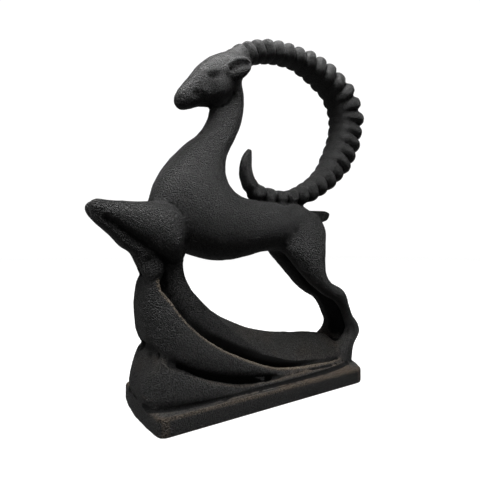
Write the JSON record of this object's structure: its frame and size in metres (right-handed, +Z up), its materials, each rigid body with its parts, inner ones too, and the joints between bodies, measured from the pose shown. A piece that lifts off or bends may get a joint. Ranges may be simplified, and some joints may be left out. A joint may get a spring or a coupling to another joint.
{
  "type": "gazelle sculpture",
  "caption": "Cast stone table sculpture of a leaping gazelle whose long ringed horn curls back to its spine, over stepped waves on a low plinth",
  "frame": {"origin": "Middle of the plinth's flat underside.", "axes": "+Z up, -X the way the animal faces, the length of the plinth along X, its width along Y."},
  "size_m": [0.2626, 0.08, 0.3032],
  "materials": {
    "cast_stone": "matt, finely pebbled, charcoal black"
  },
  "bodies": {
    "root": {"gazelle_sculpture": "cast_stone"}
  },
  "joints": []
}
